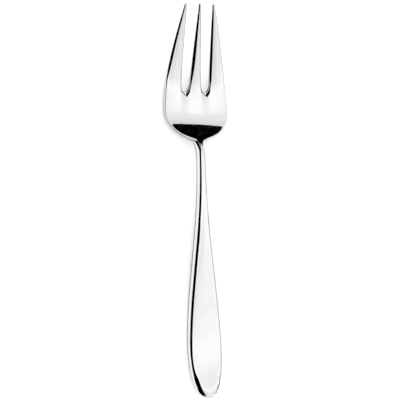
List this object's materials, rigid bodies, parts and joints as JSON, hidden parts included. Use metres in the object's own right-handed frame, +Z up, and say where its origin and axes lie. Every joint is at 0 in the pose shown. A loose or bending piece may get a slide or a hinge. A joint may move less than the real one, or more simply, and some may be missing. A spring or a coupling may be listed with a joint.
{
  "type": "fish fork",
  "caption": "Polished steel fish fork with a broad tapering handle, slim round neck, shallow hollow head and slender pointed tines.",
  "frame": {"origin": "bottom centre of the bounding box, on the table the fork lies on", "axes": "+Y along the fork from the handle's end to the tips, +X across it, +Z up out of the hollow side"},
  "size_m": [0.0318, 0.183, 0.0142],
  "materials": {
    "polished_steel": "stainless steel polished to a mirror, with faint wipe marks and fine use scratches"
  },
  "bodies": {
    "root": {"fork": "polished_steel"}
  },
  "joints": []
}
